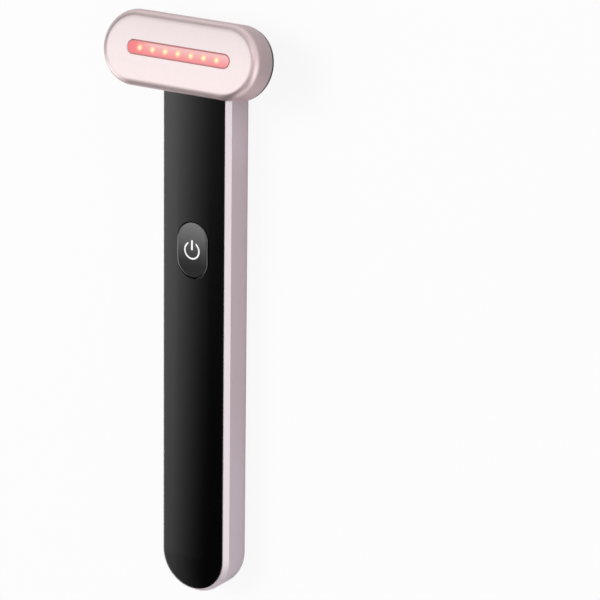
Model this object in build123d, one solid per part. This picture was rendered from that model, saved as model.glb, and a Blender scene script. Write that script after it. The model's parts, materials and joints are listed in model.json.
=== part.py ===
from build123d import *
import os
from math import cos, radians, sin, tan

os.makedirs("parts", exist_ok=True)

# Frame: +X to the right, +Y along the handle towards the head, +Z out of the front panel.
# The origin is on the handle's back face, under the middle of the whole wand.

# Whole wand
overall_length = 165.0
head_tilt = 15.0
overrun = 2.0
same_body_gap = 0.1
press_gap = 0.02
running_gap = 0.05
film_gap = 0.03

# Casing of the handle
handle_width = 22.0
handle_depth = 12.0
side_wall = 1.9
floor_wall = 1.6
rim_flat = 0.2
bevel_width = 0.9
bevel_depth = 1.6
back_fillet = 3.7

# Front panel
panel_thickness = 1.6
panel_crown = 0.7
panel_gap = 0.07
panel_edge_round = 0.3
tape_thickness = 0.2
tape_width = 0.7
panel_end_gap = 0.12
panel_top_inset = 6.6

# Head: shell, window and back cover
head_length = 49.6
head_width = 20.4
shell_depth = 7.8
cover_thickness = 1.1
cover_inset = 0.25
face_fillet = 2.0
face_crown = 0.35
head_wall = 1.1
face_wall = 1.2
slot_inset = 8.5
slot_width = 3.6
slot_chamfer = 0.25
window_gap = 0.05
window_recess = 0.1
window_lip = 0.9
window_lip_thickness = 0.6
window_skin = 0.5
window_end_skin = 1.0

# Lamps behind the window
lamp_count = 7
lamp_row_inset = 4.0
lamp_length = 2.4
lamp_side_gap = 0.3
lamp_lens_radius = 0.75
lamp_lens_height = 0.35
lamp_board_thickness = 0.8
lamp_board_end_gap = 1.2
lamp_board_side_gap = 4.6
lamp_air = 0.15
lamp_screw_bite = 1.1
light_box_wall = 1.3
heater_thickness = 0.25
heater_margin = 0.2
lamp_screw_inset = 2.1
lamp_boss_radius = 1.6
sensor_length = 2.0
sensor_width = 1.2
sensor_height = 0.8
sensor_inset = 7.3

# Back cover's rim, its seal and the pad that carries the swivel post
rim_gap = 0.1
rim_width = 1.0
rim_height = 1.9
seal_width = 0.5
seal_height = 0.8
post_pad_gap = 0.6
post_pad_height = 1.1
hook_length = 6.0
hook_rise = 0.3
hook_height = 0.6
hook_inset = 2.6
hook_gap = 0.15

# Swivel between handle and head
seat_gap = 0.3
seat_drop = 0.67
top_margin = 5.9
collar_radius = 5.5
bush_radius = 4.2
bush_space = 7.7
post_radius = 3.2
post_bore = 2.0
post_flange_inset = 1.1
post_flange_thickness = 0.8
post_end = 1.1
washer_thickness = 0.35
clip_thickness = 0.35
clip_depth = 0.5
clip_radius = 4.05
clip_mouth = 3.2
stop_pin_radius = 0.4
stop_pin_reach = 4.95
stop_pin_end_gap = 0.2
stop_lug_inner = 4.5
stop_lug_height = 1.8
stop_clearance = 0.12
seat_wall = 1.6

# Screws
screw_head_radius = 1.25
screw_head_height = 0.6
screw_shank_radius = 0.65
small_head_radius = 0.95
small_head_height = 0.5
small_shank_radius = 0.5
small_screw_bite = 1.5
post_screw_count = 3
post_screw_inset = 1.3

# Power button, its pad and the tact switch under it
button_pivot_gap = 53.5
button_width = 9.8
button_length = 15.7
button_gap = 0.2
button_rise = 0.35
button_crown = 0.5
button_edge_round = 0.35
button_wall = 1.1
button_flange = 0.7
button_flange_thickness = 0.6
button_flange_play = 0.12
button_travel = 0.3
button_stub_radius = 1.3
icon_ring_radius = 2.3
icon_stroke = 0.45
icon_bar_width = 0.55
icon_bar_top = 2.85
icon_bar_bottom = 0.15
icon_gap_angle = 56.0
icon_depth = 0.35
pad_width = 1.4
pad_play = 0.35
switch_size = 4.2
switch_height = 1.3
switch_corner = 0.4
plunger_radius = 1.0
plunger_height = 0.35
plunger_sink = 0.7
icon_lamp_length = 1.6
icon_lamp_width = 0.8
icon_lamp_height = 0.6
icon_lamp_offset = 4.2

# Main board
board_thickness = 0.8
board_side_gap = 0.9
board_panel_space = 2.7
board_end_gap = 0.7
board_standoff = 0.4
board_corner = 1.0
chassis_screw_inset = 1.9
chassis_screw_tail_gap = 20.5
chassis_screw_top_gap = 5.0
boss_radius = 1.7

# Charging inlet in the tail
inlet_width = 8.94
inlet_height = 3.26
inlet_metal = 0.3
inlet_length = 7.3
inlet_recess = 1.3
inlet_gap = 0.12
tongue_width = 6.7
tongue_thickness = 0.7
tongue_length = 4.6
tongue_base = 1.6

# Inner frame and battery
frame_deck = 0.8
frame_wall_gap = 0.6
frame_rail = 0.8
frame_side_gap = 0.25
cell_wall_gap = 1.6
cell_screw_gap = 4.3
cell_key_gap = 10.45
cell_corner_share = 0.353
cell_gap = 0.3
foam_thickness = 0.4
foam_margin = 1.5
frame_window_side = 2.5
frame_window_end = 6.0
frame_window_bar = 5.0
frame_window_corner = 2.0
lead_radius = 0.5
lead_pitch = 1.6
lead_inset = 3.5
lead_run = 3.4
lead_bend = 1.0

# Vibration motor
motor_top_gap = 1.4
motor_length = 12.0
motor_pivot_gap = 12.1
motor_board_gap = 3.5
motor_skin = 0.4
motor_cap_thickness = 1.0
boot_wall = 0.7
boot_length = 9.0
shaft_radius = 0.4
shaft_reach = 5.2
weight_inset = 0.3
weight_length = 4.0
weight_hub_radius = 1.0
cradle_wall = 1.0
cradle_over_axis = 0.3
cradle_gap = 0.1
motor_lead_radius = 0.35
motor_lead_x = 1.5
motor_lead_bend = 0.7

# Wiring to the head
harness_radius = 0.8
harness_gap = 0.4
harness_overlap = 2.6
harness_under_axis = 1.1
harness_drop_run = 3.5
harness_turn_gap = 11.8
harness_dip = 2.3
harness_bend = 1.6

# Touch contact between board and casing
contact_width = 3.0
contact_metal = 0.25
contact_key_gap = 6.7
contact_span = 2.9
contact_low_z = 3.9
contact_foot = 2.2

# Chips on the board: x, y as shares of the board's half width and length, then size
chip_shares = [
    (-0.30, 0.34, 0.55, 0.50, 0.9),
    (0.35, 0.22, 0.35, 0.35, 1.0),
    (-0.40, 0.93, 0.36, 0.30, 0.8),
    (0.20, 0.60, 0.45, 0.45, 1.2),
    (0.62, 0.43, 0.18, 0.30, 0.6),
    (-0.62, 0.55, 0.18, 0.30, 0.6),
]

# Places worked out from the sizes above
tilt_sin = sin(radians(head_tilt))
tilt_cos = cos(radians(head_tilt))
head_depth = shell_depth + cover_thickness
head_rise = (
    (head_width / 2 - face_fillet) * tilt_cos
    + (head_depth - face_fillet) * tilt_sin
    + face_fillet
)
pivot_y = overall_length / 2 - head_rise
pivot_z = handle_depth - seat_drop
head_frame = Pos(0, pivot_y, pivot_z) * Rot(-head_tilt, 0, 0)

tail_y = -overall_length / 2
handle_top_y = pivot_y + top_margin
handle_length = handle_top_y - tail_y
handle_mid_y = (handle_top_y + tail_y) / 2
tail_arc_y = tail_y + handle_width / 2
opening_half = handle_width / 2 - bevel_width - rim_flat
panel_half = opening_half - panel_gap
panel_end_y = pivot_y - panel_top_inset
panel_bottom_z = handle_depth - panel_thickness
ledge_z = panel_bottom_z - tape_thickness
cavity_half = handle_width / 2 - side_wall
crown_radius = (panel_half**2 + panel_crown**2) / (2 * panel_crown)

board_top_z = panel_bottom_z - board_panel_space
board_bottom_z = board_top_z - board_thickness
deck_top_z = board_bottom_z - board_standoff
deck_bottom_z = deck_top_z - frame_deck
cell_bottom_z = floor_wall + foam_thickness
cell_thickness = deck_bottom_z - cell_gap - cell_bottom_z
cell_corner = cell_corner_share * cell_thickness
plunger_top_z = board_top_z + switch_height + plunger_height

motor_radius = (panel_bottom_z - motor_top_gap - floor_wall) / 2 - boot_wall
motor_z = floor_wall + boot_wall + motor_radius
motor_high_y = pivot_y - motor_pivot_gap - shaft_reach
motor_low_y = motor_high_y - motor_length
weight_radius = motor_radius - weight_inset
cradle_x = motor_radius + boot_wall + cradle_gap

button_y = pivot_y - button_pivot_gap
board_half_width = cavity_half - board_side_gap
board_tail_y = tail_y + side_wall + board_end_gap
board_top_y = motor_low_y - motor_board_gap
frame_half_width = cavity_half - frame_wall_gap
chassis_screw_x = board_half_width - chassis_screw_inset
chassis_screw_low_y = tail_y + chassis_screw_tail_gap
chassis_screw_high_y = board_top_y - chassis_screw_top_gap
cell_width = 2 * (cavity_half - cell_wall_gap)
cell_low_y = chassis_screw_low_y + boss_radius + cell_screw_gap
cell_high_y = button_y - button_length / 2 - cell_key_gap
cell_length = cell_high_y - cell_low_y
lead_x = cell_width / 2 - lead_inset
contact_x = cavity_half - contact_span
contact_y = button_y + contact_key_gap
contact_reach = board_bottom_z - contact_low_z
chassis_screw_spots = [
    (side * chassis_screw_x, y)
    for side in (-1, 1)
    for y in (chassis_screw_low_y, chassis_screw_high_y)
]

inlet_mouth_y = tail_y + inlet_recess
inlet_z = board_top_z - board_thickness / 2

slot_length = head_length - 2 * slot_inset
lamp_pitch = (slot_length - 2 * lamp_row_inset) / (lamp_count - 1)
lamp_width = slot_width - 2 * (window_gap + window_skin + lamp_side_gap)
lamp_board_length = head_length - 2 * (head_wall + lamp_board_end_gap)
lamp_board_width = head_width - 2 * (head_wall + lamp_board_side_gap)
sensor_x = slot_length / 2 - sensor_inset
lamp_screw_x = lamp_board_length / 2 - lamp_screw_inset
hook_x = (head_length - head_width) / 2 - hook_inset
post_pad_radius = head_width / 2 - head_wall - rim_gap - rim_width - post_pad_gap
post_flange_radius = post_pad_radius - post_flange_inset
post_screw_circle = post_flange_radius - post_screw_inset
bush_length = handle_depth - bush_space
post_length = seat_gap + bush_length + washer_thickness + clip_thickness + post_end

face_inner_w = head_depth - face_wall
window_front_w = head_depth - window_recess
lamp_board_top_w = face_inner_w - window_lip_thickness - same_body_gap
lamp_board_bottom_w = lamp_board_top_w - lamp_board_thickness
lamp_lens_top_w = window_front_w - window_skin - lamp_air
post_pad_w = cover_thickness + post_pad_height
post_top_w = post_pad_w + post_flange_thickness
bush_bottom_w = -seat_gap - bush_length
clip_top_w = bush_bottom_w - washer_thickness
post_bottom_w = -post_length
stop_pin_w = (clip_top_w - clip_thickness + post_bottom_w) / 2


def strand(points, radius, bend):
    """Eight-sided lead along straight runs joined by arcs."""
    path = FilletPolyline(*points, radius=bend)
    return sweep(Plane(path @ 0, z_dir=path % 0) * RegularPolygon(radius, 8), path=path)


def save(shape, node):
    """Write one piece to its own STEP file."""
    export_step(shape, f"parts/{node}.step")


def along_head(length, width, low, high):
    """Long-hole block across the head, between two heights over the cover's back."""
    return Pos(0, 0, low) * extrude(SlotOverall(length, width), high - low)


def along_handle(length, width, low, high, mid_y):
    """Long-hole block along the handle, between two heights."""
    outline = SlotOverall(length, width, rotation=90)
    return Pos(0, mid_y, low) * extrude(outline, high - low)


def block(x_low, x_high, y_low, y_high, z_low, z_high):
    """Box between two corners."""
    box = Box(x_high - x_low, y_high - y_low, z_high - z_low)
    return Pos((x_low + x_high) / 2, (y_low + y_high) / 2, (z_low + z_high) / 2) * box


def disc(radius, low, high, x=0, y=0):
    """Upright cylinder between two heights."""
    return Pos(x, y, (low + high) / 2) * Cylinder(radius, high - low)


def rod_along_y(radius, y_low, y_high, x, z):
    """Cylinder along the handle."""
    return Pos(x, (y_low + y_high) / 2, z) * Rot(90, 0, 0) * Cylinder(radius, y_high - y_low)


def above_seat(drop):
    """Everything above a plane parallel to the head's back, drop below it."""
    reach = handle_length
    slab = Pos(0, 0, reach / 2 - drop) * Box(reach, reach, reach)
    return head_frame * slab


def cavity_outline_block(inset, low, high):
    """Block with the casing's inner outline, drawn in by inset."""
    width = 2 * (cavity_half - inset)
    length = handle_length - 2 * (side_wall + inset)
    return along_handle(length, width, low, high, handle_mid_y)


def crowned_slab(half_width, bottom, rim, y_top):
    """Slab with a half-round tail and a gently crowned front, straight at its top end."""
    section = Plane.XZ * (
        Pos(0, rim + panel_crown - crown_radius) * Circle(crown_radius)
        & Pos(0, (bottom + rim + overrun) / 2) * Rectangle(2 * half_width, rim + overrun - bottom)
    )
    straight = Pos(0, y_top, 0) * extrude(section, y_top - tail_arc_y)
    half_section = section & Plane.XZ * Pos(half_width / 2, (bottom + rim) / 2) * Rectangle(
        half_width, 2 * (rim - bottom) + 2 * overrun
    )
    tail = Pos(0, tail_arc_y, 0) * revolve(half_section, Axis.Z, -180)
    return straight + tail


def casing():
    """Moulded handle tray: bevelled rim, rounded back, slanted seat and swivel collar."""
    body = along_handle(handle_length, handle_width, 0, handle_depth, handle_mid_y)
    body = fillet(body.faces().sort_by(Axis.Z)[0].edges(), back_fillet)
    front = body.faces().sort_by(Axis.Z)[-1]
    body = chamfer(front.edges(), bevel_width, bevel_depth, reference=front)
    body -= above_seat(seat_gap)

    hollow = cavity_outline_block(0, floor_wall, ledge_z)
    hollow = chamfer(hollow.faces().sort_by(Axis.Z)[0].edges(), back_fillet - floor_wall)
    hollow -= above_seat(seat_gap + seat_wall)
    body -= hollow

    opening_length = panel_end_y + panel_end_gap - tail_y - handle_width / 2 + opening_half
    opening = along_handle(
        2 * opening_length, 2 * opening_half, ledge_z, handle_depth + overrun,
        tail_arc_y - opening_half + opening_length,
    )
    opening &= block(
        -handle_width, handle_width, tail_y, panel_end_y + panel_end_gap,
        0, handle_depth + overrun,
    )
    body -= opening & block(
        -handle_width, handle_width, tail_y, panel_end_y + panel_end_gap,
        panel_bottom_z - tape_thickness, handle_depth + overrun,
    )

    collar = disc(collar_radius, bush_bottom_w, -seat_gap)
    lug = disc(collar_radius, bush_bottom_w - stop_lug_height, bush_bottom_w)
    lug -= disc(stop_lug_inner, bush_bottom_w - 2 * stop_lug_height, bush_bottom_w + overrun)
    lug &= block(
        -collar_radius, collar_radius, stop_pin_radius + stop_clearance, collar_radius,
        bush_bottom_w - stop_lug_height, bush_bottom_w,
    )
    body += head_frame * (collar + lug)
    body -= head_frame * disc(bush_radius + press_gap, bush_bottom_w - overrun, overrun)

    for x, y in chassis_screw_spots:
        body += disc(boss_radius, floor_wall, deck_bottom_z, x, y)
        body -= disc(screw_shank_radius - press_gap, floor_wall, deck_bottom_z + overrun, x, y)

    boot_mid_y = (motor_low_y + motor_high_y) / 2
    for side in (-1, 1):
        inner, outer = sorted((side * cradle_x, side * (cradle_x + cradle_wall)))
        body += block(
            inner, outer, boot_mid_y - boot_length / 2, boot_mid_y + boot_length / 2,
            floor_wall, motor_z + cradle_over_axis,
        )

    port = Plane.XZ * SlotOverall(inlet_width + 2 * inlet_gap, inlet_height + 2 * inlet_gap)
    body -= Pos(0, tail_y + inlet_length, inlet_z) * extrude(port, 2 * inlet_length)
    return body


def panel():
    """Glossy crowned strip with the button's hole."""
    slab = crowned_slab(panel_half, panel_bottom_z, handle_depth, panel_end_y)
    rim = slab.edges().filter_by_position(Axis.Z, handle_depth - film_gap, handle_depth + film_gap)
    slab = fillet(rim, panel_edge_round)
    hole = along_handle(
        button_length + 2 * button_gap, button_width + 2 * button_gap,
        0, handle_depth + panel_crown + overrun, button_y,
    )
    return slab - hole


def panel_tape():
    """Bead of sealing tape on the casing's ledge."""
    length = panel_end_y - tail_arc_y
    outer = along_handle(
        2 * (length + panel_half), 2 * panel_half, ledge_z, panel_bottom_z,
        tail_arc_y + length,
    )
    inner_half = panel_half - tape_width
    inner = along_handle(
        2 * (length + inner_half), 2 * inner_half, ledge_z, panel_bottom_z,
        tail_arc_y + length,
    )
    keep = block(
        -handle_width, handle_width, tail_y, panel_end_y, ledge_z, panel_bottom_z,
    )
    return (outer - inner) & keep


def key_blank():
    """Outer form of the power key, crowned along its length."""
    top = handle_depth + panel_crown + button_rise
    key = along_handle(button_length, button_width, panel_bottom_z - overrun, top, button_y)
    radius = ((button_length / 2) ** 2 + button_crown**2) / (2 * button_crown)
    key &= Pos(0, button_y, top - radius) * Rot(0, 90, 0) * Cylinder(radius, handle_width)
    return fillet(key.faces().sort_by(Axis.Z)[-1].edges(), button_edge_round)


def icon_prism(gap):
    """Upright prism of the on-off sign, drawn out by gap."""
    middle = Pos(0, button_y, handle_depth) * Cylinder(
        icon_ring_radius + icon_stroke / 2 + gap, 2 * overrun
    )
    middle -= Pos(0, button_y, handle_depth) * Cylinder(
        icon_ring_radius - icon_stroke / 2 - gap, 2 * overrun
    )
    half_gap = icon_ring_radius * tan(radians(icon_gap_angle / 2)) - gap
    middle -= block(
        -half_gap, half_gap, button_y, button_y + 2 * icon_ring_radius,
        handle_depth - overrun, handle_depth + overrun,
    )
    bar = block(
        -icon_bar_width / 2 - gap, icon_bar_width / 2 + gap,
        button_y + icon_bar_bottom - gap, button_y + icon_bar_top + gap,
        handle_depth - overrun, handle_depth + overrun,
    )
    return middle + bar


def icon_layer():
    """Top layer of the key, as deep as the sign's inlay."""
    top = handle_depth + panel_crown + button_rise
    return block(
        -button_width, button_width, button_y - button_length, button_y + button_length,
        top - button_crown - icon_depth, top + overrun,
    )


def power_button():
    """Hollow key with a retaining flange and a stub over the switch."""
    flange_top = panel_bottom_z - button_flange_play
    flange_bottom = flange_top - button_flange_thickness
    key = key_blank() - along_handle(
        button_length, button_width, 0, flange_top, button_y
    )
    key += along_handle(
        button_length + 2 * (button_gap + button_flange),
        button_width + 2 * (button_gap + button_flange),
        flange_bottom, flange_top, button_y,
    )
    key -= along_handle(
        button_length - 2 * button_wall, button_width - 2 * button_wall,
        flange_bottom - overrun, handle_depth + panel_crown - button_wall, button_y,
    )
    key += disc(button_stub_radius, plunger_top_z, handle_depth, 0, button_y)
    return key - (icon_prism(film_gap) & icon_layer())


def power_icon():
    """Pale on-off sign, let into the key flush with its top."""
    return key_blank() & icon_prism(0) & icon_layer()


def button_pad():
    """Soft sealing ring between the key's flange and the board."""
    top = panel_bottom_z - button_flange_play - button_flange_thickness - pad_play
    length = button_length + 2 * (button_gap + button_flange)
    width = button_width + 2 * (button_gap + button_flange)
    ring = along_handle(length, width, board_top_z, top, button_y)
    return ring - along_handle(
        length - 2 * pad_width, width - 2 * pad_width, 0, handle_depth, button_y
    )


def switch_body():
    """Square tact switch with its corners cut and a well for the plunger."""
    half = switch_size / 2
    body = block(
        -half, half, button_y - half, button_y + half,
        board_top_z, board_top_z + switch_height,
    )
    body = chamfer(body.edges().filter_by(Axis.Z), switch_corner)
    well_floor = board_top_z + switch_height - plunger_sink - button_travel - same_body_gap
    well = disc(
        plunger_radius + running_gap, well_floor, board_top_z + 2 * switch_height, 0, button_y
    )
    return body - well


def switch_plunger():
    """Round plunger that the key's stub presses."""
    return disc(
        plunger_radius, board_top_z + switch_height - plunger_sink, plunger_top_z, 0, button_y
    )


def icon_lamp():
    """Small lamp under the sign."""
    y = button_y + icon_lamp_offset
    return block(
        -icon_lamp_length / 2, icon_lamp_length / 2,
        y - icon_lamp_width / 2, y + icon_lamp_width / 2,
        board_top_z, board_top_z + icon_lamp_height,
    )


def main_board():
    """Circuit board with screw holes and a notch for the charging inlet."""
    board = block(
        -board_half_width, board_half_width, board_tail_y, board_top_y,
        board_bottom_z, board_top_z,
    )
    top_corners = board.edges().filter_by(Axis.Z).group_by(Axis.Y)[-1]
    board = fillet(top_corners, board_corner)
    board &= cavity_outline_block(board_end_gap, 0, handle_depth)
    for x, y in chassis_screw_spots:
        board -= disc(screw_shank_radius + same_body_gap, 0, handle_depth, x, y)
    notch_half = inlet_width / 2 + same_body_gap
    return board - block(
        -notch_half, notch_half, tail_y, inlet_mouth_y + inlet_length + same_body_gap,
        0, handle_depth,
    )


def control_chips():
    """Group of separate chips on the board's front."""
    length = board_top_y - board_tail_y
    chips = []
    for x_share, y_share, width_share, length_share, height_share in chip_shares:
        x = x_share * board_half_width
        y = board_tail_y + y_share * length
        half_x = width_share * board_half_width / 2
        half_y = length_share * board_half_width / 2
        top = board_top_z + height_share * switch_height
        chips.append(block(x - half_x, x + half_x, y - half_y, y + half_y, board_top_z, top))
    return Compound(chips)


def pan_screw(head_radius, head_height, shank_radius, shank_length):
    """Screw, its head's underside at zero height and its shank going down."""
    screw = disc(head_radius, 0, head_height) + disc(shank_radius, -shank_length, 0)
    recess = extrude(RegularPolygon(head_radius / 2, 6), head_height)
    return screw - Pos(0, 0, head_height / 2) * recess


def chassis_screws():
    """Four screws through board and frame into the casing's bosses."""
    length = board_top_z - floor_wall - same_body_gap
    screws = []
    for x, y in chassis_screw_spots:
        screw = pan_screw(
            screw_head_radius, screw_head_height, screw_shank_radius - 2 * press_gap, length
        )
        screws.append(Pos(x, y, board_top_z) * screw)
    return Compound(screws)


def inlet_shell():
    """Drawn metal sleeve of the charging inlet, closed at its inner end."""
    outer = Plane.XZ * SlotOverall(inlet_width, inlet_height)
    inner = Plane.XZ * SlotOverall(
        inlet_width - 2 * inlet_metal, inlet_height - 2 * inlet_metal
    )
    inner_end_y = inlet_mouth_y + inlet_length
    sleeve = Pos(0, inner_end_y, 0) * extrude(outer, inlet_length)
    sleeve -= Pos(0, inner_end_y - inlet_metal, 0) * extrude(inner, inlet_length)
    return Pos(0, 0, inlet_z) * sleeve


def inlet_tongue():
    """Contact tongue on its moulded base inside the inlet."""
    inner_end_y = inlet_mouth_y + inlet_length - inlet_metal
    gap = film_gap
    base = Plane.XZ * SlotOverall(
        inlet_width - 2 * (inlet_metal + gap), inlet_height - 2 * (inlet_metal + gap)
    )
    base = Pos(0, inner_end_y, inlet_z) * extrude(base, tongue_base)
    tongue = block(
        -tongue_width / 2, tongue_width / 2,
        inner_end_y - tongue_base - tongue_length, inner_end_y - tongue_base,
        inlet_z - tongue_thickness / 2, inlet_z + tongue_thickness / 2,
    )
    return base + tongue


def inner_frame():
    """Moulded carrier: a deck over the battery with rails, windows and standoffs."""
    deck_tail_y = inlet_mouth_y + inlet_length
    deck = block(
        -frame_half_width, frame_half_width, deck_tail_y, board_top_y,
        deck_bottom_z, deck_top_z,
    )
    deck &= cavity_outline_block(frame_side_gap, 0, handle_depth)
    rail_inner = cell_width / 2 + frame_side_gap
    for side in (-1, 1):
        inner, outer = sorted((side * rail_inner, side * (rail_inner + frame_rail)))
        deck += block(
            inner, outer, cell_low_y, cell_high_y,
            cell_bottom_z + cell_corner, deck_bottom_z,
        )
    stop_half = cell_width / 2 - cell_corner
    for y in (cell_low_y - cell_gap - frame_rail, cell_high_y + cell_gap):
        deck += block(
            -stop_half, lead_x - lead_pitch, y, y + frame_rail, cell_bottom_z, deck_bottom_z,
        )
    window_length = (cell_length - 2 * frame_window_end - frame_window_bar) / 2
    window_y = (window_length + frame_window_bar) / 2
    for side in (-1, 1):
        window = extrude(
            RectangleRounded(
                cell_width - 2 * frame_window_side, window_length, frame_window_corner
            ),
            handle_depth,
        )
        deck -= Pos(0, (cell_low_y + cell_high_y) / 2 + side * window_y, 0) * window
    lead_y = cell_high_y + lead_run
    hatch = lead_pitch + 2 * lead_radius
    deck -= block(
        lead_x - hatch, lead_x + hatch, lead_y - hatch, lead_y + hatch,
        deck_bottom_z, handle_depth,
    )
    for x, y in chassis_screw_spots:
        deck += disc(boss_radius, deck_top_z, board_bottom_z, x, y)
        deck -= disc(screw_shank_radius + same_body_gap, 0, handle_depth, x, y)
    slot_half = contact_width / 2 + frame_side_gap
    deck -= block(
        contact_x - contact_reach, handle_width, contact_y - slot_half, contact_y + slot_half,
        deck_bottom_z, handle_depth,
    )
    return deck


def battery_cell():
    """Flat pouch cell with rounded long edges."""
    cell = block(
        -cell_width / 2, cell_width / 2, cell_low_y, cell_high_y,
        cell_bottom_z, cell_bottom_z + cell_thickness,
    )
    return fillet(cell.edges().filter_by(Axis.Y), cell_corner)


def battery_foam():
    """Adhesive foam strip between cell and casing."""
    half = cell_width / 2 - foam_margin
    return block(
        -half, half, cell_low_y + foam_margin, cell_high_y - foam_margin,
        floor_wall, cell_bottom_z,
    )


def battery_leads():
    """Two leads from the cell's end up to the board."""
    z = cell_bottom_z + cell_thickness / 2
    leads = []
    for side in (0, 1):
        x = lead_x + (side - 1 / 2) * lead_pitch
        points = [
            (x, cell_high_y, z), (x, cell_high_y + lead_run, z),
            (x, cell_high_y + lead_run, board_bottom_z),
        ]
        leads.append(strand(points, lead_radius, lead_bend))
    return Compound(leads)


def motor_can():
    """Drawn can of the vibration motor, open towards the board."""
    can = rod_along_y(motor_radius, motor_low_y, motor_high_y, 0, motor_z)
    can -= rod_along_y(
        motor_radius - motor_skin, motor_low_y - overrun, motor_high_y - motor_cap_thickness,
        0, motor_z,
    )
    return can - rod_along_y(
        shaft_radius + running_gap, motor_low_y, motor_high_y + overrun, 0, motor_z
    )


def motor_cap():
    """Moulded end cap with the shaft's rear bearing."""
    radius = motor_radius - motor_skin - film_gap
    cap = rod_along_y(radius, motor_low_y, motor_low_y + motor_cap_thickness, 0, motor_z)
    return cap - rod_along_y(
        shaft_radius + running_gap, motor_low_y - overrun, motor_high_y, 0, motor_z
    )


def motor_shaft():
    """Steel shaft through both bearings."""
    return rod_along_y(
        shaft_radius, motor_low_y + motor_cap_thickness / 2, motor_high_y + shaft_reach,
        0, motor_z,
    )


def motor_weight():
    """Eccentric half-round weight pressed on the shaft."""
    high = motor_high_y + shaft_reach - same_body_gap
    low = high - weight_length
    weight = rod_along_y(weight_radius, low, high, 0, motor_z)
    weight &= block(
        -weight_radius, weight_radius, low, high, motor_z - weight_radius, motor_z,
    )
    weight += rod_along_y(weight_hub_radius, low, high, 0, motor_z)
    return weight - rod_along_y(
        shaft_radius + press_gap, low - overrun, high + overrun, 0, motor_z
    )


def motor_boot():
    """Rubber sleeve round the motor, square outside."""
    half = motor_radius + boot_wall
    mid_y = (motor_low_y + motor_high_y) / 2
    boot = block(
        -half, half, mid_y - boot_length / 2, mid_y + boot_length / 2,
        floor_wall, floor_wall + 2 * half,
    )
    boot = fillet(boot.edges().filter_by(Axis.Y), boot_wall)
    return boot - rod_along_y(
        motor_radius + film_gap, motor_low_y - overrun, motor_high_y + overrun, 0, motor_z
    )


def motor_leads():
    """Two short leads from the motor's cap to the board's edge."""
    mid_y = (motor_low_y + board_top_y) / 2
    board_mid_z = board_top_z - board_thickness / 2
    leads = []
    for side in (-1, 1):
        x = side * motor_lead_x
        points = [
            (x, motor_low_y, motor_z), (x, mid_y, motor_z),
            (x, mid_y, board_mid_z), (x, board_top_y, board_mid_z),
        ]
        leads.append(strand(points, motor_lead_radius, motor_lead_bend))
    return Compound(leads)


def handle_wires():
    """Harness from the board, past the motor and up to the swivel post."""
    start_z = board_top_z + harness_radius + film_gap
    harness_x = cradle_x + cradle_wall + harness_gap + harness_radius
    low_z = motor_z - harness_under_axis
    low = (head_frame * Pos(0, 0, post_bottom_w - harness_dip)).position
    end = (head_frame * Pos(0, 0, post_bottom_w)).position
    points = [
        (harness_x, board_top_y - harness_overlap, start_z),
        (harness_x, board_top_y + 2 * harness_radius, start_z),
        (harness_x, motor_low_y + harness_drop_run, low_z),
        (harness_x, pivot_y - harness_turn_gap, low_z),
        tuple(low),
        tuple(end),
    ]
    return strand(points, harness_radius, harness_bend)


def touch_contact():
    """Bent strip that joins the board to the casing's plated wall."""
    x_wall = cavity_half - same_body_gap
    line = FilletPolyline(
        (contact_x - contact_foot, board_bottom_z - contact_metal / 2),
        (contact_x, board_bottom_z - contact_metal / 2),
        (x_wall - contact_metal / 2, board_bottom_z - contact_reach / 2),
        (contact_x + contact_foot / 2, board_bottom_z - contact_reach),
        radius=contact_metal,
    )
    outline = offset(line, contact_metal / 2, side=Side.BOTH, kind=Kind.INTERSECTION)
    strip = Plane.XZ * make_face(outline)
    return Pos(0, contact_y + contact_width / 2, 0) * extrude(strip, contact_width)


def swivel_bush():
    """Plain bush pressed into the casing's collar."""
    bush = disc(bush_radius, bush_bottom_w, -seat_gap)
    return head_frame * (
        bush - disc(post_radius + running_gap, bush_bottom_w - overrun, overrun)
    )


def seat_washer():
    """Slip washer between the handle's seat and the head's back."""
    washer = disc(collar_radius, -seat_gap, 0)
    return head_frame * (washer - disc(post_radius + same_body_gap * 2, -overrun, overrun))


def friction_washer():
    """Washer that the clip presses against the bush."""
    washer = disc(clip_radius, clip_top_w, bush_bottom_w)
    return head_frame * (
        washer - disc(post_radius + running_gap, clip_top_w - overrun, overrun)
    )


def swivel_post():
    """Hollow post of the head, with its flange, clip groove and stop-pin hole."""
    post = disc(post_radius, post_bottom_w, post_top_w)
    post += disc(post_flange_radius, post_pad_w, post_top_w)
    groove_low = clip_top_w - clip_thickness - film_gap
    groove = disc(post_radius + overrun, groove_low, clip_top_w + film_gap)
    groove -= disc(post_radius - clip_depth, groove_low, clip_top_w + film_gap)
    post -= groove
    post -= disc(post_bore, post_bottom_w - overrun, post_top_w + overrun)
    for spot in PolarLocations(post_screw_circle, post_screw_count, start_angle=90):
        post -= spot * disc(
            small_shank_radius + same_body_gap, post_pad_w - overrun, post_top_w + overrun
        )
    post -= rod_along_y(
        stop_pin_radius + press_gap, -post_radius - overrun, -post_bore + overrun / 2,
        0, stop_pin_w,
    )
    return head_frame * post


def retaining_clip():
    """Open ring in the post's groove."""
    ring = disc(clip_radius, clip_top_w - clip_thickness, clip_top_w)
    ring -= disc(post_radius - clip_depth + film_gap, clip_top_w - overrun, clip_top_w + overrun)
    mouth = block(
        -clip_mouth / 2, clip_mouth / 2, 0, 2 * clip_radius,
        clip_top_w - overrun, clip_top_w + overrun,
    )
    return head_frame * (ring - mouth)


def stop_pin():
    """Pin in the post that meets the casing's lug at each end of the swivel."""
    return head_frame * rod_along_y(
        stop_pin_radius, -stop_pin_reach, -post_bore - stop_pin_end_gap, 0, stop_pin_w
    )


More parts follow.
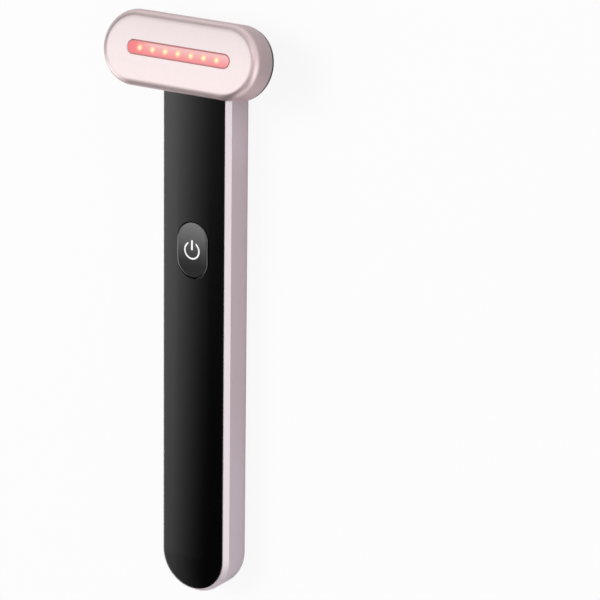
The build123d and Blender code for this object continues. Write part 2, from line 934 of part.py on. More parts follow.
def post_screws():
    """Small screws through the post's flange into the cover's pad."""
    screws = []
    for spot in PolarLocations(post_screw_circle, post_screw_count, start_angle=90):
        screw = pan_screw(
            small_head_radius, small_head_height, small_shank_radius - press_gap,
            post_flange_thickness + small_screw_bite,
        )
        screws.append(head_frame * spot * Pos(0, 0, post_top_w) * screw)
    return Compound(screws)


def snap_hooks(gap):
    """Four low ridges on the cover's rim, drawn out by gap for their grooves."""
    rim_half = head_width / 2 - head_wall - rim_gap
    top = cover_thickness + rim_height - hook_height / 2
    hooks = []
    for x in (-hook_x, hook_x):
        for side in (-1, 1):
            inner = side * (rim_half - rim_width / 2)
            outer = side * (rim_half + hook_rise + gap)
            hooks.append(block(
                x - hook_length / 2 - gap, x + hook_length / 2 + gap,
                min(inner, outer), max(inner, outer),
                top - hook_height - gap, top + gap,
            ))
    return hooks


def cup_blank():
    """Outer form of the metal cup: its face crowned across the width, its rim rounded."""
    radius = ((head_width / 2) ** 2 + face_crown**2) / (2 * face_crown)
    blank = along_head(head_length, head_width, cover_thickness, head_depth)
    blank &= Pos(0, 0, head_depth - radius) * Rot(0, 90, 0) * Cylinder(radius, head_length)
    return fillet(blank.faces().sort_by(Axis.Z)[-1].edges(), face_fillet)


def head_shell():
    """Metal cup of the head: crowned face, light slot and two screw bosses."""
    shell = cup_blank()
    inner_length = head_length - 2 * head_wall
    inner_width = head_width - 2 * head_wall
    shell -= along_head(inner_length, inner_width, cover_thickness - overrun, face_inner_w)
    shell -= along_head(
        inner_length + 2 * seal_width, inner_width + 2 * seal_width,
        cover_thickness - overrun, cover_thickness + seal_height,
    )
    for groove in snap_hooks(hook_gap):
        shell -= groove
    shell -= along_head(slot_length, slot_width, face_inner_w - overrun, head_depth + overrun)
    face = shell.faces().sort_by(Axis.Z)[-1]
    shell = chamfer(face.inner_wires()[0].edges(), slot_chamfer)
    for side in (-1, 1):
        x = side * lamp_screw_x
        shell += disc(lamp_boss_radius, lamp_board_top_w, face_inner_w, x)
        shell -= disc(
            small_shank_radius - press_gap, lamp_board_top_w - overrun,
            lamp_board_top_w + lamp_screw_bite + same_body_gap, x,
        )
    return head_frame * shell


def light_window():
    """Red translucent cap that fills the slot, with a lip behind it and a channel inside."""
    bar = along_head(
        slot_length - 2 * window_gap, slot_width - 2 * window_gap,
        face_inner_w - window_lip_thickness, window_front_w,
    )
    lip = along_head(
        slot_length + 2 * window_lip, slot_width + 2 * window_lip,
        face_inner_w - window_lip_thickness, face_inner_w,
    )
    channel = along_head(
        slot_length - 2 * window_end_skin, slot_width - 2 * (window_gap + window_skin),
        face_inner_w - window_lip_thickness - overrun, window_front_w - window_skin,
    )
    return head_frame * (bar + lip - channel)


def light_box():
    """Pale frame that holds the window's lip and screens the lamps."""
    inner_length = slot_length + 2 * window_lip + 2 * window_gap
    inner_width = slot_width + 2 * window_lip + 2 * window_gap
    box = along_head(
        inner_length + 2 * light_box_wall, inner_width + 2 * light_box_wall,
        lamp_board_top_w, face_inner_w,
    )
    return head_frame * (
        box - along_head(inner_length, inner_width, 0, head_depth + overrun)
    )


def heater_film():
    """Thin heating film bonded round the window inside the face."""
    inset = face_fillet + heater_margin
    film = along_head(
        head_length - 2 * inset, head_width - 2 * inset,
        face_inner_w - heater_thickness, face_inner_w,
    )
    hole_length = slot_length + 2 * (window_lip + window_gap + light_box_wall + same_body_gap)
    hole_width = slot_width + 2 * (window_lip + window_gap + light_box_wall + same_body_gap)
    film -= along_head(hole_length, hole_width, 0, head_depth + overrun)
    for side in (-1, 1):
        film -= disc(
            lamp_boss_radius + same_body_gap, 0, head_depth, side * lamp_screw_x
        )
    return head_frame * film


def lamp_board():
    """Narrow circuit board behind the window, screwed to the shell's bosses."""
    board = along_head(
        lamp_board_length, lamp_board_width, lamp_board_bottom_w, lamp_board_top_w
    )
    for side in (-1, 1):
        board -= disc(
            small_shank_radius + same_body_gap, 0, head_depth, side * lamp_screw_x
        )
    return head_frame * board


def red_lamps():
    """Row of lamps, each a moulded block with a round lens in the window's channel."""
    body_top = lamp_lens_top_w - lamp_lens_height
    lamps = []
    for step in range(lamp_count):
        x = (step - (lamp_count - 1) / 2) * lamp_pitch
        lamp = block(
            x - lamp_length / 2, x + lamp_length / 2, -lamp_width / 2, lamp_width / 2,
            lamp_board_top_w, body_top,
        )
        lamps.append(head_frame * (lamp + disc(lamp_lens_radius, body_top, lamp_lens_top_w, x)))
    return Compound(lamps)


def lamp_board_screws():
    """Two small screws that hold the lamp board."""
    screws = []
    for side in (-1, 1):
        screw = pan_screw(
            small_head_radius, small_head_height, small_shank_radius - 2 * press_gap,
            lamp_board_thickness + lamp_screw_bite,
        )
        place = Pos(side * lamp_screw_x, 0, lamp_board_bottom_w) * Rot(180, 0, 0)
        screws.append(head_frame * place * screw)
    return Compound(screws)


def heat_sensor():
    """Small bead that reads the board's warmth, on the lamp board's back."""
    return head_frame * block(
        sensor_x - sensor_length / 2, sensor_x + sensor_length / 2,
        -sensor_width / 2, sensor_width / 2,
        lamp_board_bottom_w - sensor_height, lamp_board_bottom_w,
    )


def back_cover():
    """Black back of the head: edge plate, plug rim with hooks and the post's pad."""
    cover = along_head(
        head_length - 2 * cover_inset, head_width - 2 * cover_inset, 0, cover_thickness
    )
    rim_outer_length = head_length - 2 * (head_wall + rim_gap)
    rim_outer_width = head_width - 2 * (head_wall + rim_gap)
    rim = along_head(
        rim_outer_length, rim_outer_width, cover_thickness, cover_thickness + rim_height
    )
    rim -= along_head(
        rim_outer_length - 2 * rim_width, rim_outer_width - 2 * rim_width,
        0, head_depth,
    )
    cover += rim
    for hook in snap_hooks(0):
        cover += hook
    cover += disc(post_pad_radius, cover_thickness, post_pad_w)
    cover -= disc(post_radius + same_body_gap, -overrun, head_depth)
    for spot in PolarLocations(post_screw_circle, post_screw_count, start_angle=90):
        cover -= spot * disc(
            small_shank_radius, post_pad_w - small_screw_bite - same_body_gap, head_depth
        )
    return head_frame * cover


def cover_seal():
    """Soft ring in the corner between shell and cover."""
    gap = film_gap
    outer_length = head_length - 2 * (head_wall - seal_width + gap)
    outer_width = head_width - 2 * (head_wall - seal_width + gap)
    inner_length = head_length - 2 * (head_wall + rim_gap - gap)
    inner_width = head_width - 2 * (head_wall + rim_gap - gap)
    seal = along_head(
        outer_length, outer_width, cover_thickness, cover_thickness + seal_height - gap
    )
    return head_frame * (seal - along_head(inner_length, inner_width, 0, head_depth))


def head_wires():
    """Straight run of the harness inside the post, up to the lamp board."""
    return head_frame * disc(harness_radius, post_bottom_w, lamp_board_bottom_w)


pieces = {
    "handle_casing": casing,
    "front_panel": panel,
    "panel_tape": panel_tape,
    "power_button": power_button,
    "power_icon": power_icon,
    "button_pad": button_pad,
    "switch_body": switch_body,
    "switch_plunger": switch_plunger,
    "icon_lamp": icon_lamp,
    "main_board": main_board,
    "control_chips": control_chips,
    "chassis_screws": chassis_screws,
    "inlet_shell": inlet_shell,
    "inlet_tongue": inlet_tongue,
    "inner_frame": inner_frame,
    "battery_cell": battery_cell,
    "battery_foam": battery_foam,
    "battery_leads": battery_leads,
    "motor_can": motor_can,
    "motor_cap": motor_cap,
    "motor_shaft": motor_shaft,
    "motor_weight": motor_weight,
    "motor_boot": motor_boot,
    "motor_leads": motor_leads,
    "handle_wires": handle_wires,
    "touch_contact": touch_contact,
    "swivel_bush": swivel_bush,
    "seat_washer": seat_washer,
    "friction_washer": friction_washer,
    "swivel_post": swivel_post,
    "retaining_clip": retaining_clip,
    "stop_pin": stop_pin,
    "post_screws": post_screws,
    "head_shell": head_shell,
    "light_window": light_window,
    "light_box": light_box,
    "heater_film": heater_film,
    "lamp_board": lamp_board,
    "red_lamps": red_lamps,
    "lamp_board_screws": lamp_board_screws,
    "heat_sensor": heat_sensor,
    "back_cover": back_cover,
    "cover_seal": cover_seal,
    "head_wires": head_wires,
}

for node, make in pieces.items():
    save(make(), node)
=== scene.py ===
import json
import math

import bpy
from mathutils import Matrix, Vector

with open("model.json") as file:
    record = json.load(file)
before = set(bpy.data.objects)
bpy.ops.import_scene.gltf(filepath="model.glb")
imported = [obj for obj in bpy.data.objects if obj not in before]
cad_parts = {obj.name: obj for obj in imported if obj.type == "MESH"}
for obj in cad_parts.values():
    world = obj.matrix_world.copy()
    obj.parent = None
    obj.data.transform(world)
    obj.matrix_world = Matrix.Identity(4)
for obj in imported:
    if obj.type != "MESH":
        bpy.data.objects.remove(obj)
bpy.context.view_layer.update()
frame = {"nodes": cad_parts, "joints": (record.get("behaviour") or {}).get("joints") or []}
nodes = frame["nodes"]
print("frame loaded:", len(nodes), "nodes")

scene = bpy.context.scene
scene.view_settings.view_transform = "Standard"
mm = 0.001

# stands where the photograph was taken from; its three axes say how it is turned
photoCamera = {
    "place": (0.48550, 0.27483, 0.71760),
    "right": (0.84017, 0.01283, -0.54217),
    "up": (-0.17416, 0.95315, -0.24734),
    "back": (0.51359, 0.30224, 0.80304),
    "lens": 198.28, "sensor": 36.0,
    "clipStart": 0.05, "clipEnd": 20,
}


def addCamera(view):
    data = bpy.data.cameras.new("photoCamera")
    data.lens = view["lens"]
    data.sensor_width = view["sensor"]
    data.sensor_fit = "HORIZONTAL"
    data.clip_start = view["clipStart"]
    data.clip_end = view["clipEnd"]
    shot = bpy.data.objects.new("photoCamera", data)
    scene.collection.objects.link(shot)
    turn = Matrix((view["right"], view["up"], view["back"])).transposed()
    shot.matrix_world = Matrix.Translation(view["place"]) @ turn.to_4x4()
    scene.camera = shot


addCamera(photoCamera)
print("camera placed")


def plug(tree, socket, value):
    if isinstance(value, Wire):
        tree.links.new(value.socket, socket)
    elif value is not None:
        socket.default_value = value


class Wire:
    # a socket that takes part in sums
    def __init__(self, tree, socket):
        self.tree = tree
        self.socket = socket

    def join(self, operation, other=None, swapped=False):
        node = self.tree.nodes.new("ShaderNodeMath")
        node.operation = operation
        pair = (other, self) if swapped else (self, other)
        for socket, value in zip(node.inputs, pair):
            plug(self.tree, socket, value)
        return Wire(self.tree, node.outputs[0])

    def size(self):
        return self.join("ABSOLUTE")

    def nearestWhole(self):
        return self.join("ROUND")

    def atLeast(self, value):
        return self.join("MAXIMUM", value)

    def atMost(self, value):
        return self.join("MINIMUM", value)

    def __neg__(self):
        return self.join("MULTIPLY", -1)

    def __add__(self, other):
        return self.join("ADD", other)

    def __radd__(self, other):
        return self.join("ADD", other, swapped=True)

    def __sub__(self, other):
        return self.join("SUBTRACT", other)

    def __rsub__(self, other):
        return self.join("SUBTRACT", other, swapped=True)

    def __mul__(self, other):
        return self.join("MULTIPLY", other)

    def __rmul__(self, other):
        return self.join("MULTIPLY", other, swapped=True)

    def __truediv__(self, other):
        return self.join("DIVIDE", other)

    def __rtruediv__(self, other):
        return self.join("DIVIDE", other, swapped=True)

    def __pow__(self, other):
        return self.join("POWER", other)

    def __rpow__(self, other):
        return self.join("POWER", other, swapped=True)


class Bench:
    # one node tree; every node but the sums is made by its node method
    def __init__(self, tree):
        self.tree = tree
        tree.nodes.clear()

    def node(self, kind, settings=None, values=None, out=0):
        made = self.tree.nodes.new(kind)
        for key, value in (settings or {}).items():
            setattr(made, key, value)
        for key, value in (values or {}).items():
            plug(self.tree, made.inputs[key], value)
        return Wire(self.tree, made.outputs[out]) if made.outputs else made

    def place(self):
        return self.node("ShaderNodeTexCoord", out="Object")

    def parts(self, vector):
        split = self.node("ShaderNodeSeparateXYZ", values={0: vector})
        return [Wire(self.tree, socket) for socket in split.socket.node.outputs]

    def noise(self, size, detail=2.0):
        return self.node(
            "ShaderNodeTexNoise", None,
            {"Vector": self.place(), "Scale": 1 / size, "Detail": detail},
        )

    def blend(self, low, high, mask):
        # 0, 6 and 7 are a colour mix's factor and colours, and 2 is its result
        return self.node("ShaderNodeMix", {"data_type": "RGBA"}, {0: mask, 6: low, 7: high}, out=2)

    def ramp(self, value, low, high, newLow=0.0, newHigh=1.0, shape="LINEAR"):
        return self.node(
            "ShaderNodeMapRange", {"interpolation_type": shape},
            {"Value": value, "From Min": low, "From Max": high,
             "To Min": newLow, "To Max": newHigh},
        )

    def span(self, value, low, high, newLow=0.0, newHigh=1.0):
        # a ramp with soft ends; it falls where low is above high
        return self.ramp(value, low, high, newLow, newHigh, "SMOOTHSTEP")

    def bump(self, height, depth):
        return self.node("ShaderNodeBump", None, {"Height": height, "Distance": depth})


def finish(name, constants, varying):
    # constants go on the shader's own sockets, varying(bench) gives the rest
    material = bpy.data.materials.new(name)
    material.use_nodes = True
    bench = Bench(material.node_tree)
    values = dict(constants)
    values.update(varying(bench))
    shader = bench.node("ShaderNodeBsdfPrincipled", None, values)
    bench.node("ShaderNodeOutputMaterial", None, {"Surface": shader})
    return material


def rgba(r, g, b):
    return (r, g, b, 1.0)


# casing: satin paint with a fine metal grain
satinRose = {
    "shader": {"Metallic": 0.65, "Coat Weight": 0.5, "Coat Roughness": 0.22},
    "light": rgba(0.94, 0.84, 0.88), "dark": rgba(0.87, 0.76, 0.80),
    "grain": 0.09 * mm, "cloud": 9 * mm, "grainShare": 0.65, "grainDepth": 0.004 * mm,
    "rough": 0.28, "roughVary": 0.06,
    # a painted highlight: the bevel round the panel is painted in lighter colours of its own, and
    # is told by how far it looks up
    "cutHighlightLight": rgba(0.81, 0.735, 0.765), "cutHighlightDark": rgba(0.755, 0.68, 0.71),
    "cutStart": 0.30, "cutFull": 0.55, "flatStart": 0.90, "flatFull": 0.97,
}


def rosePaint(bench):
    look = satinRose
    grain = bench.noise(look["grain"], detail=1.0)
    cloud = bench.noise(look["cloud"])
    mix = (1 - look["grainShare"]) * cloud + look["grainShare"] * grain
    up = bench.parts(bench.node("ShaderNodeNewGeometry", out="True Normal"))[2]
    # painted highlight on the bevel, which looks partly up; the flat top and the walls keep the
    # plain colours
    bevel = bench.span(up, look["cutStart"], look["cutFull"])
    bevel *= 1 - bench.span(up, look["flatStart"], look["flatFull"])
    return {
        "Base Color": bench.blend(
            bench.blend(look["dark"], look["light"], mix),
            bench.blend(look["cutHighlightDark"], look["cutHighlightLight"], mix), bevel,
        ),
        "Roughness": look["rough"] + look["roughVary"] * grain,
        "Normal": bench.bump(grain, look["grainDepth"]),
    }


def headPlace(bench):
    # along and across the head's face, whatever its tilt
    x, y, z = bench.parts(bench.place())
    swivel = [joint for joint in frame["joints"] if joint["name"] == "head_swivel"][0]
    middle, axis = swivel["pos_m"], swivel["axis"]
    return x, (y - middle[1]) * axis[2] - (z - middle[2]) * axis[1]


def inFrom(along, across, form):
    # distance in from a long round-ended outline
    beyond = (along.size() - (form["halfLength"] - form["halfWidth"])).atLeast(0.0)
    return form["halfWidth"] - (beyond * beyond + across * across) ** 0.5


# head: blasted bare metal
blastedRose = {
    "shader": {"Metallic": 1.0},
    "light": rgba(0.975, 0.812, 0.812), "dark": rgba(0.86, 0.69, 0.69),
    "grain": 0.12 * mm, "speck": 0.45 * mm, "cloud": 6 * mm, "grainDepth": 0.006 * mm,
    "grainShare": 0.3, "speckShare": 0.5, "cloudShare": 0.2,
    "rough": 0.36, "roughVary": 0.08,
    # the flat face rolls off softly towards its rounded rim, most along its upper edge
    "halfLength": 24.8 * mm, "halfWidth": 10.2 * mm,
    "rollWidth": 2.9 * mm, "rollDepth": 0.36 * mm, "rollLeast": 0.2, "rollReach": 0.6,
}


def roseMetal(bench):
    look = blastedRose
    along, across = headPlace(bench)
    slope = 1 - (inFrom(along, across, look) / look["rollWidth"]).atMost(1.0)
    reach = look["rollReach"] * look["halfWidth"]
    level = look["rollLeast"] + (1 - look["rollLeast"]) * bench.span(across, -reach, reach)
    roll = slope * slope * level * -look["rollDepth"]
    grain = bench.noise(look["grain"])
    speck = bench.noise(look["speck"], detail=1.0)
    cloud = bench.noise(look["cloud"])
    mix = look["cloudShare"] * cloud + look["speckShare"] * speck + look["grainShare"] * grain
    return {
        "Base Color": bench.blend(look["dark"], look["light"], mix),
        "Roughness": look["rough"] + look["roughVary"] * grain,
        "Normal": bench.bump(roll + grain * look["grainDepth"], 1.0),
    }


# panel and key: polished black with a slow ripple and a thin haze
pianoBlack = {
    "shader": {"Coat Weight": 0.06, "Coat Roughness": 0.04},
    "base": rgba(0.0012, 0.0012, 0.0014), "dust": rgba(0.0022, 0.0022, 0.0025),
    "ripple": 5 * mm, "rippleDepth": 0.003 * mm, "haze": 0.7 * mm,
    "rough": 0.05, "roughVary": 0.02,
}
keyBlack = {
    "shader": {"Coat Weight": 1.0, "Coat Roughness": 0.08, "Coat IOR": 1.7, "IOR": 1.7},
    "base": rgba(0.0015, 0.0015, 0.0017), "dust": rgba(0.003, 0.003, 0.0033),
    "ripple": 3 * mm, "rippleDepth": 0.002 * mm, "haze": 0.5 * mm,
    "rough": 0.12, "roughVary": 0.03,
}


def gloss(look):
    def varying(bench):
        ripple = bench.noise(look["ripple"], detail=1.0)
        haze = bench.noise(look["haze"], detail=3.0)
        return {
            "Base Color": bench.blend(look["base"], look["dust"], haze),
            "Roughness": look["rough"] + look["roughVary"] * haze,
            "Normal": bench.bump(ripple, look["rippleDepth"]),
        }
    return varying


# window: lit from behind by a row of lamps
redWindow = {
    "shader": {"Emission Strength": 0.85, "Coat Weight": 0.5},
    "deep": rgba(0.78, 0.125, 0.135), "pink": rgba(0.76, 0.52, 0.51),
    "halo": rgba(0.86, 0.68, 0.27), "core": rgba(0.95, 1.08, 0.62),
    "rim": rgba(0.40, 0.17, 0.17), "body": rgba(0.22, 0.015, 0.02),
    "lampPitch": 4.1 * mm, "lampsEachSide": 3,
    "halfLength": 16.3 * mm, "halfWidth": 1.75 * mm, "rimWidth": 0.34 * mm,
    "coreSize": 0.68 * mm, "coreFull": 0.1,
    "haloSize": 1.2 * mm, "haloFull": 0.35, "haloLevel": 0.8, "haloBelow": 0.3,
    # paler from near the left end on, and more so along the upper side
    "paleStart": 0.95, "paleFull": 0.45, "paleLeast": 0.22, "paleRise": 0.72,
    "grain": 0.4 * mm, "grainShare": 0.12, "rough": 0.18, "roughVary": 0.05,
}


def litWindow(bench):
    look = redWindow
    along, across = headPlace(bench)
    lamp = (along / look["lampPitch"]).nearestWhole()
    lamp = lamp.atLeast(-look["lampsEachSide"]).atMost(look["lampsEachSide"])
    past = along - lamp * look["lampPitch"]
    fromLamp = (past * past + across * across) ** 0.5
    core = bench.span(fromLamp, look["coreSize"], look["coreFull"] * look["coreSize"])
    halo = bench.span(fromLamp, look["haloSize"], look["haloFull"] * look["haloSize"])
    rim = bench.span(inFrom(along, across, look), look["rimWidth"], 0.0)
    start, full = [-look[key] * look["halfLength"] for key in ("paleStart", "paleFull")]
    upper = bench.span(across, -look["halfWidth"], look["halfWidth"])
    pale = bench.span(along, start, full) * (look["paleLeast"] + look["paleRise"] * upper)
    grain = bench.noise(look["grain"], detail=1.0)
    glow = bench.blend(look["deep"], look["pink"], pale + look["grainShare"] * grain)
    glow = bench.blend(glow, look["halo"], look["haloLevel"] * halo)
    glow = bench.blend(glow, look["core"], core)
    return {
        "Base Color": bench.blend(look["body"], look["deep"], look["haloBelow"] * halo),
        "Emission Color": bench.blend(glow, look["rim"], rim),
        "Roughness": look["rough"] + look["roughVary"] * grain,
    }


# each plain finish: light and dark colour, grain in mm, roughness, the shader's own values
plainFinishes = {
    "iconWhite": ((0.95, 0.95, 0.96), (0.91, 0.91, 0.93), 0.3, 0.35,
                  {"Emission Color": rgba(1, 1, 1), "Emission Strength": 0.14}),
    "coverBlack": ((0.030, 0.030, 0.032), (0.022, 0.022, 0.024), 0.12, 0.45, {}),
    "lampAmber": ((1.0, 0.70, 0.45), (1.0, 0.60, 0.35), 0.2, 0.2,
                  {"Emission Color": rgba(1.0, 0.72, 0.42), "Emission Strength": 6.0}),
    "boxWhite": ((0.90, 0.90, 0.88), (0.84, 0.84, 0.82), 0.2, 0.5, {}),
    "boardWhite": ((0.88, 0.88, 0.86), (0.80, 0.80, 0.78), 0.3, 0.4, {}),
    "boardGreen": ((0.05, 0.28, 0.13), (0.03, 0.22, 0.10), 0.4, 0.35, {}),
    "chipBlack": ((0.045, 0.045, 0.05), (0.03, 0.03, 0.034), 0.1, 0.5, {}),
    "switchGrey": ((0.16, 0.16, 0.16), (0.12, 0.12, 0.12), 0.15, 0.45, {}),
    "frameGrey": ((0.36, 0.36, 0.37), (0.31, 0.31, 0.32), 0.15, 0.5, {}),
    "bushNatural": ((0.90, 0.88, 0.82), (0.85, 0.83, 0.77), 0.2, 0.4, {}),
    "softRubber": ((0.12, 0.12, 0.12), (0.09, 0.09, 0.09), 0.1, 0.7, {}),
    "foamGrey": ((0.20, 0.20, 0.20), (0.12, 0.12, 0.12), 0.15, 0.9, {}),
    "tapeBlack": ((0.08, 0.08, 0.08), (0.06, 0.06, 0.06), 0.2, 0.6, {}),
    "cellFoil": ((0.75, 0.76, 0.78), (0.68, 0.69, 0.71), 0.6, 0.3, {"Metallic": 0.9}),
    "steel": ((0.62, 0.62, 0.64), (0.55, 0.55, 0.57), 0.1, 0.28, {"Metallic": 1.0}),
    "heavyMetal": ((0.35, 0.35, 0.37), (0.28, 0.28, 0.30), 0.08, 0.5, {"Metallic": 1.0}),
    "brass": ((0.78, 0.62, 0.32), (0.70, 0.54, 0.27), 0.1, 0.3, {"Metallic": 1.0}),
    "heaterAmber": ((0.75, 0.42, 0.10), (0.66, 0.34, 0.07), 0.5, 0.3, {}),
    "leadRed": ((0.65, 0.05, 0.05), (0.55, 0.03, 0.03), 0.2, 0.45, {}),
    "leadBlue": ((0.08, 0.16, 0.55), (0.06, 0.12, 0.45), 0.2, 0.45, {}),
    "wireGrey": ((0.30, 0.30, 0.32), (0.24, 0.24, 0.26), 0.2, 0.5, {}),
}
plainGrain = {"roughVary": 0.08, "depth": 0.002 * mm}


def plain(light, dark, size, rough):
    def varying(bench):
        grain = bench.noise(size)
        vary = plainGrain["roughVary"]
        return {
            "Base Color": bench.blend(rgba(*dark), rgba(*light), grain),
            "Roughness": rough - vary / 2 + vary * grain,
            "Normal": bench.bump(grain, plainGrain["depth"]),
        }
    return varying


finishes = {
    "roseSatin": finish("roseSatin", satinRose["shader"], rosePaint),
    "roseMetal": finish("roseMetal", blastedRose["shader"], roseMetal),
    "pianoBlack": finish("pianoBlack", pianoBlack["shader"], gloss(pianoBlack)),
    "keyBlack": finish("keyBlack", keyBlack["shader"], gloss(keyBlack)),
    "redWindow": finish("redWindow", redWindow["shader"], litWindow),
}
for name, (light, dark, size, rough, constants) in plainFinishes.items():
    finishes[name] = finish(name, constants, plain(light, dark, size * mm, rough))

wears = {
    "roseSatin": ["handle_casing"],
    "roseMetal": ["head_shell"],
    "pianoBlack": ["front_panel"],
    "keyBlack": ["power_button"],
    "iconWhite": ["power_icon"],
    "coverBlack": ["back_cover"],
    "redWindow": ["light_window"],
    "lampAmber": ["red_lamps", "icon_lamp"],
    "boxWhite": ["light_box", "inlet_tongue"],
    "boardWhite": ["lamp_board"],
    "boardGreen": ["main_board"],
    "chipBlack": ["control_chips", "heat_sensor"],
    "switchGrey": ["switch_body", "switch_plunger"],
    "frameGrey": ["inner_frame"],
    "bushNatural": ["swivel_bush", "seat_washer", "motor_cap"],
    "softRubber": ["button_pad", "motor_boot", "cover_seal"],
    "foamGrey": ["battery_foam"],
    "tapeBlack": ["panel_tape"],
    "cellFoil": ["battery_cell"],
    "steel": ["chassis_screws", "inlet_shell", "motor_can", "motor_shaft", "friction_washer",
              "swivel_post", "retaining_clip", "stop_pin", "post_screws", "lamp_board_screws"],
    "heavyMetal": ["motor_weight"],
    "brass": ["touch_contact"],
    "heaterAmber": ["heater_film"],
    "leadRed": ["battery_leads"],
    "leadBlue": ["motor_leads"],
    "wireGrey": ["handle_wires", "head_wires"],
}
for name, worn in wears.items():
    for node in worn:
        part = nodes[node]
        for slot in part.material_slots:
            slot.material = finishes[name]
        if not part.material_slots:
            part.data.materials.append(finishes[name])
print("finishes on:", sum(len(worn) for worn in wears.values()), "nodes")

studioFloor = {
    "size": 6, "colour": (0.47, 0.43, 0.45), "grain": 0.4, "grainVary": 0.02,
    # what the camera sees: this colour, mostly covered by plain white
    "seen": (0.90, 0.90, 0.90), "white": 0.89,
    # painted reflection tones that the walls pick up along the object, from its tail to its top;
    # the middle band is painted lighter where the head's shadow falls
    "tones": [
        {"start": -0.025, "full": -0.055, "colour": (0.54, 0.51, 0.56)},
        {"start": 0.034, "full": 0.046, "colour": (0.57, 0.52, 0.555)},
        {"start": 0.047, "full": 0.06, "colour": (0.475, 0.466, 0.48)},
    ],
    # painted light: paler at the foot of the casing's wall, where its contact shadow falls
    "paintedFootLight": {"start": 0.020, "full": 0.0125, "level": 0.22},
    # white that gloss and glass see, most of it beyond the top and to the right
    "shine": 0.06,
    "farShine": {"start": 0.09, "full": 0.13, "level": 0.6},
    "rightShine": {"start": 0.045, "full": 0.10, "level": 1.2},
}


def rise(bench, value, form):
    # from 0 at a form's start to its level, with soft ends
    return bench.span(value, form["start"], form["full"]) * form["level"]


def addFloor(look):
    bpy.ops.mesh.primitive_plane_add(size=look["size"])
    floor = bpy.context.active_object
    floor.name = "studioFloor"
    material = bpy.data.materials.new("studioFloor")
    material.use_nodes = True
    bench = Bench(material.node_tree)
    direct, glossy, through = [
        bench.node("ShaderNodeLightPath", out="Is %s Ray" % kind)
        for kind in ("Camera", "Glossy", "Transmission")
    ]
    across, along = bench.parts(bench.place())[:2]
    tone = rgba(*look["colour"])
    # painted reflection tones on the floor, for gloss and bounce; the camera hardly sees them
    for band in look["tones"]:
        mask = bench.span(along, band["start"], band["full"])
        tone = bench.blend(tone, rgba(*band["colour"]), mask)
    # painted light at the foot of the casing's wall, against its contact shadow
    tone = bench.blend(tone, rgba(1, 1, 1), rise(bench, across, look["paintedFootLight"]))
    grain = look["grainVary"] * bench.noise(look["grain"], detail=1.0)
    tone = bench.blend(tone, rgba(*look["seen"]), direct - grain)
    matte = bench.node("ShaderNodeBsdfDiffuse", None, {"Color": tone})
    white = bench.node("ShaderNodeEmission", None, {"Color": rgba(1, 1, 1), "Strength": 1.0})
    glow = rise(bench, along, look["farShine"]) + look["shine"]
    glow += rise(bench, across, look["rightShine"])
    covered = direct * look["white"] + (glossy + through) * glow
    mixed = bench.node("ShaderNodeMixShader", None, {0: covered, 1: matte, 2: white})
    bench.node("ShaderNodeOutputMaterial", None, {"Surface": mixed})
    floor.data.materials.append(material)


# the room's lights by direction: x to the right, y along the object to its head
studioSky = {
    # a large light on the left fades across the glossy panel, along a slanted line
    "left": {"turn": 49, "start": 0.05, "full": 0.39, "level": 1.48, "fall": 2,
             "lean": 0.8, "leanTop": 0.3, "leanLow": -0.4},
    # shares that the large light loses towards the head and at its far end
    "leftTop": {"start": 0.30, "full": 0.47, "level": 0.60},
    "leftEnd": {"start": 0.62, "full": 0.84, "level": 0.82, "low": -0.24, "high": -0.12},
    # a cool band on the left, towards the head
    "belt": {"low": -0.09, "start": 0.05, "full": 0.26, "high": 0.48, "near": -0.1, "far": -0.3,
             "tint": (0.31, 0.47, 0.47)},
    # a light on the right, and the share that it loses towards the head
    "right": {"start": 0.60, "full": 0.92, "level": 1.05},
    "rightTop": {"start": -0.15, "full": 0.35, "level": 0.65},
    # a small round light past the head; its start and full are nearness to its direction
    "rear": {"start": 0.955, "full": 0.985, "level": 0.9, "towards": (0.46, 0.67, 0.58)},
    # the rest is a warm room light
    "upper": {"start": 0.6, "full": 0.9, "level": 0.13},
    "front": {"start": 0.45, "full": 0.90, "level": 0.4},
    "ambient": {"start": -0.38, "full": 0.15, "low": 0.008, "high": 0.7, "dip": 0.32,
                "near": -0.2, "far": 0.1, "fill": 0.45, "tint": (1.0, 0.95, 0.955)},
}


def leftLight(bench, look, x, y):
    # how far the light has come in, its level, and what its dark end leaves of it
    left, end = look["left"], look["leftEnd"]
    turn = math.radians(left["turn"])
    lift = y.atLeast(left["leanLow"])
    side = math.cos(turn) * lift - math.sin(turn) * x
    fade = bench.ramp(side, left["start"], left["full"]) ** left["fall"]
    light = fade * left["level"] * (1 - left["lean"] * lift.atMost(left["leanTop"]))
    light *= 1 - rise(bench, y, look["leftTop"])
    kept = 1 - rise(bench, -x, end) * bench.span(y, end["low"], end["high"])
    return fade, light * kept, kept


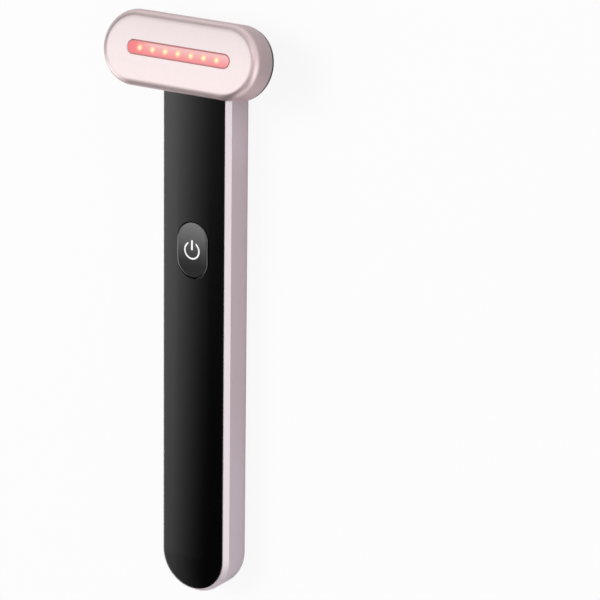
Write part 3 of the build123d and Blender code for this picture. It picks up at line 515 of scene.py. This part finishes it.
def skyTones(bench, look):
    way = bench.node("ShaderNodeTexCoord", out="Generated")
    x, y = bench.parts(way)[:2]
    belt, right, ambient = look["belt"], look["right"], look["ambient"]
    fade, light, kept = leftLight(bench, look, x, y)
    cool = bench.span(y, belt["low"], belt["start"]) * bench.span(y, belt["high"], belt["full"])
    cool *= bench.span(x, belt["near"], belt["far"]) * kept
    towards = tuple(Vector(look["rear"]["towards"]).normalized())
    close = bench.node("ShaderNodeVectorMath", {"operation": "DOT_PRODUCT"},
                       {0: way, 1: towards}, out="Value")
    light += rise(bench, close, look["rear"])
    light += rise(bench, x, right) * (1 - rise(bench, y, look["rightTop"]))
    facing = bench.span(x, ambient["near"], ambient["far"])
    warm = rise(bench, -y, look["front"]) * facing + rise(bench, y, look["upper"])
    low = ambient["low"] + facing * ambient["fill"]
    room = bench.span(y, ambient["start"], ambient["full"], low, ambient["high"]) * (1 - fade)
    warm += room * (1 - bench.span(x, ambient["far"], right["start"]) * ambient["dip"])
    return [light + cool * coolTint + warm * warmTint
            for coolTint, warmTint in zip(belt["tint"], ambient["tint"])]


def addSky(look):
    world = bpy.data.worlds.new("studio")
    scene.world = world
    world.use_nodes = True
    bench = Bench(world.node_tree)
    direct = bench.node("ShaderNodeLightPath", out="Is Camera Ray")
    red, green, blue = [tone * (1 - direct) + direct for tone in skyTones(bench, look)]
    colour = bench.node("ShaderNodeCombineColor", None, {0: red, 1: green, 2: blue})
    back = bench.node("ShaderNodeBackground", None, {"Color": colour, "Strength": 1.0})
    bench.node("ShaderNodeOutputWorld", None, {"Surface": back})


keyLamp = {"place": (-0.5, 0.45, 1.0), "target": (0, 0, 0), "size": 0.7, "power": 5.0}


def addLamp(name, look):
    data = bpy.data.lights.new(name, "AREA")
    data.shape = "DISK"
    data.size = look["size"]
    data.energy = look["power"]
    lamp = bpy.data.objects.new(name, data)
    scene.collection.objects.link(lamp)
    way = Vector(look["target"]) - Vector(look["place"])
    turn = way.to_track_quat("-Z", "Y").to_matrix()
    lamp.matrix_world = Matrix.Translation(look["place"]) @ turn.to_4x4()
    lamp.visible_glossy = False


for thing in bpy.context.selected_objects:
    thing.select_set(False)
addFloor(studioFloor)
addSky(studioSky)
addLamp("keyLamp", keyLamp)
print("studio lit")
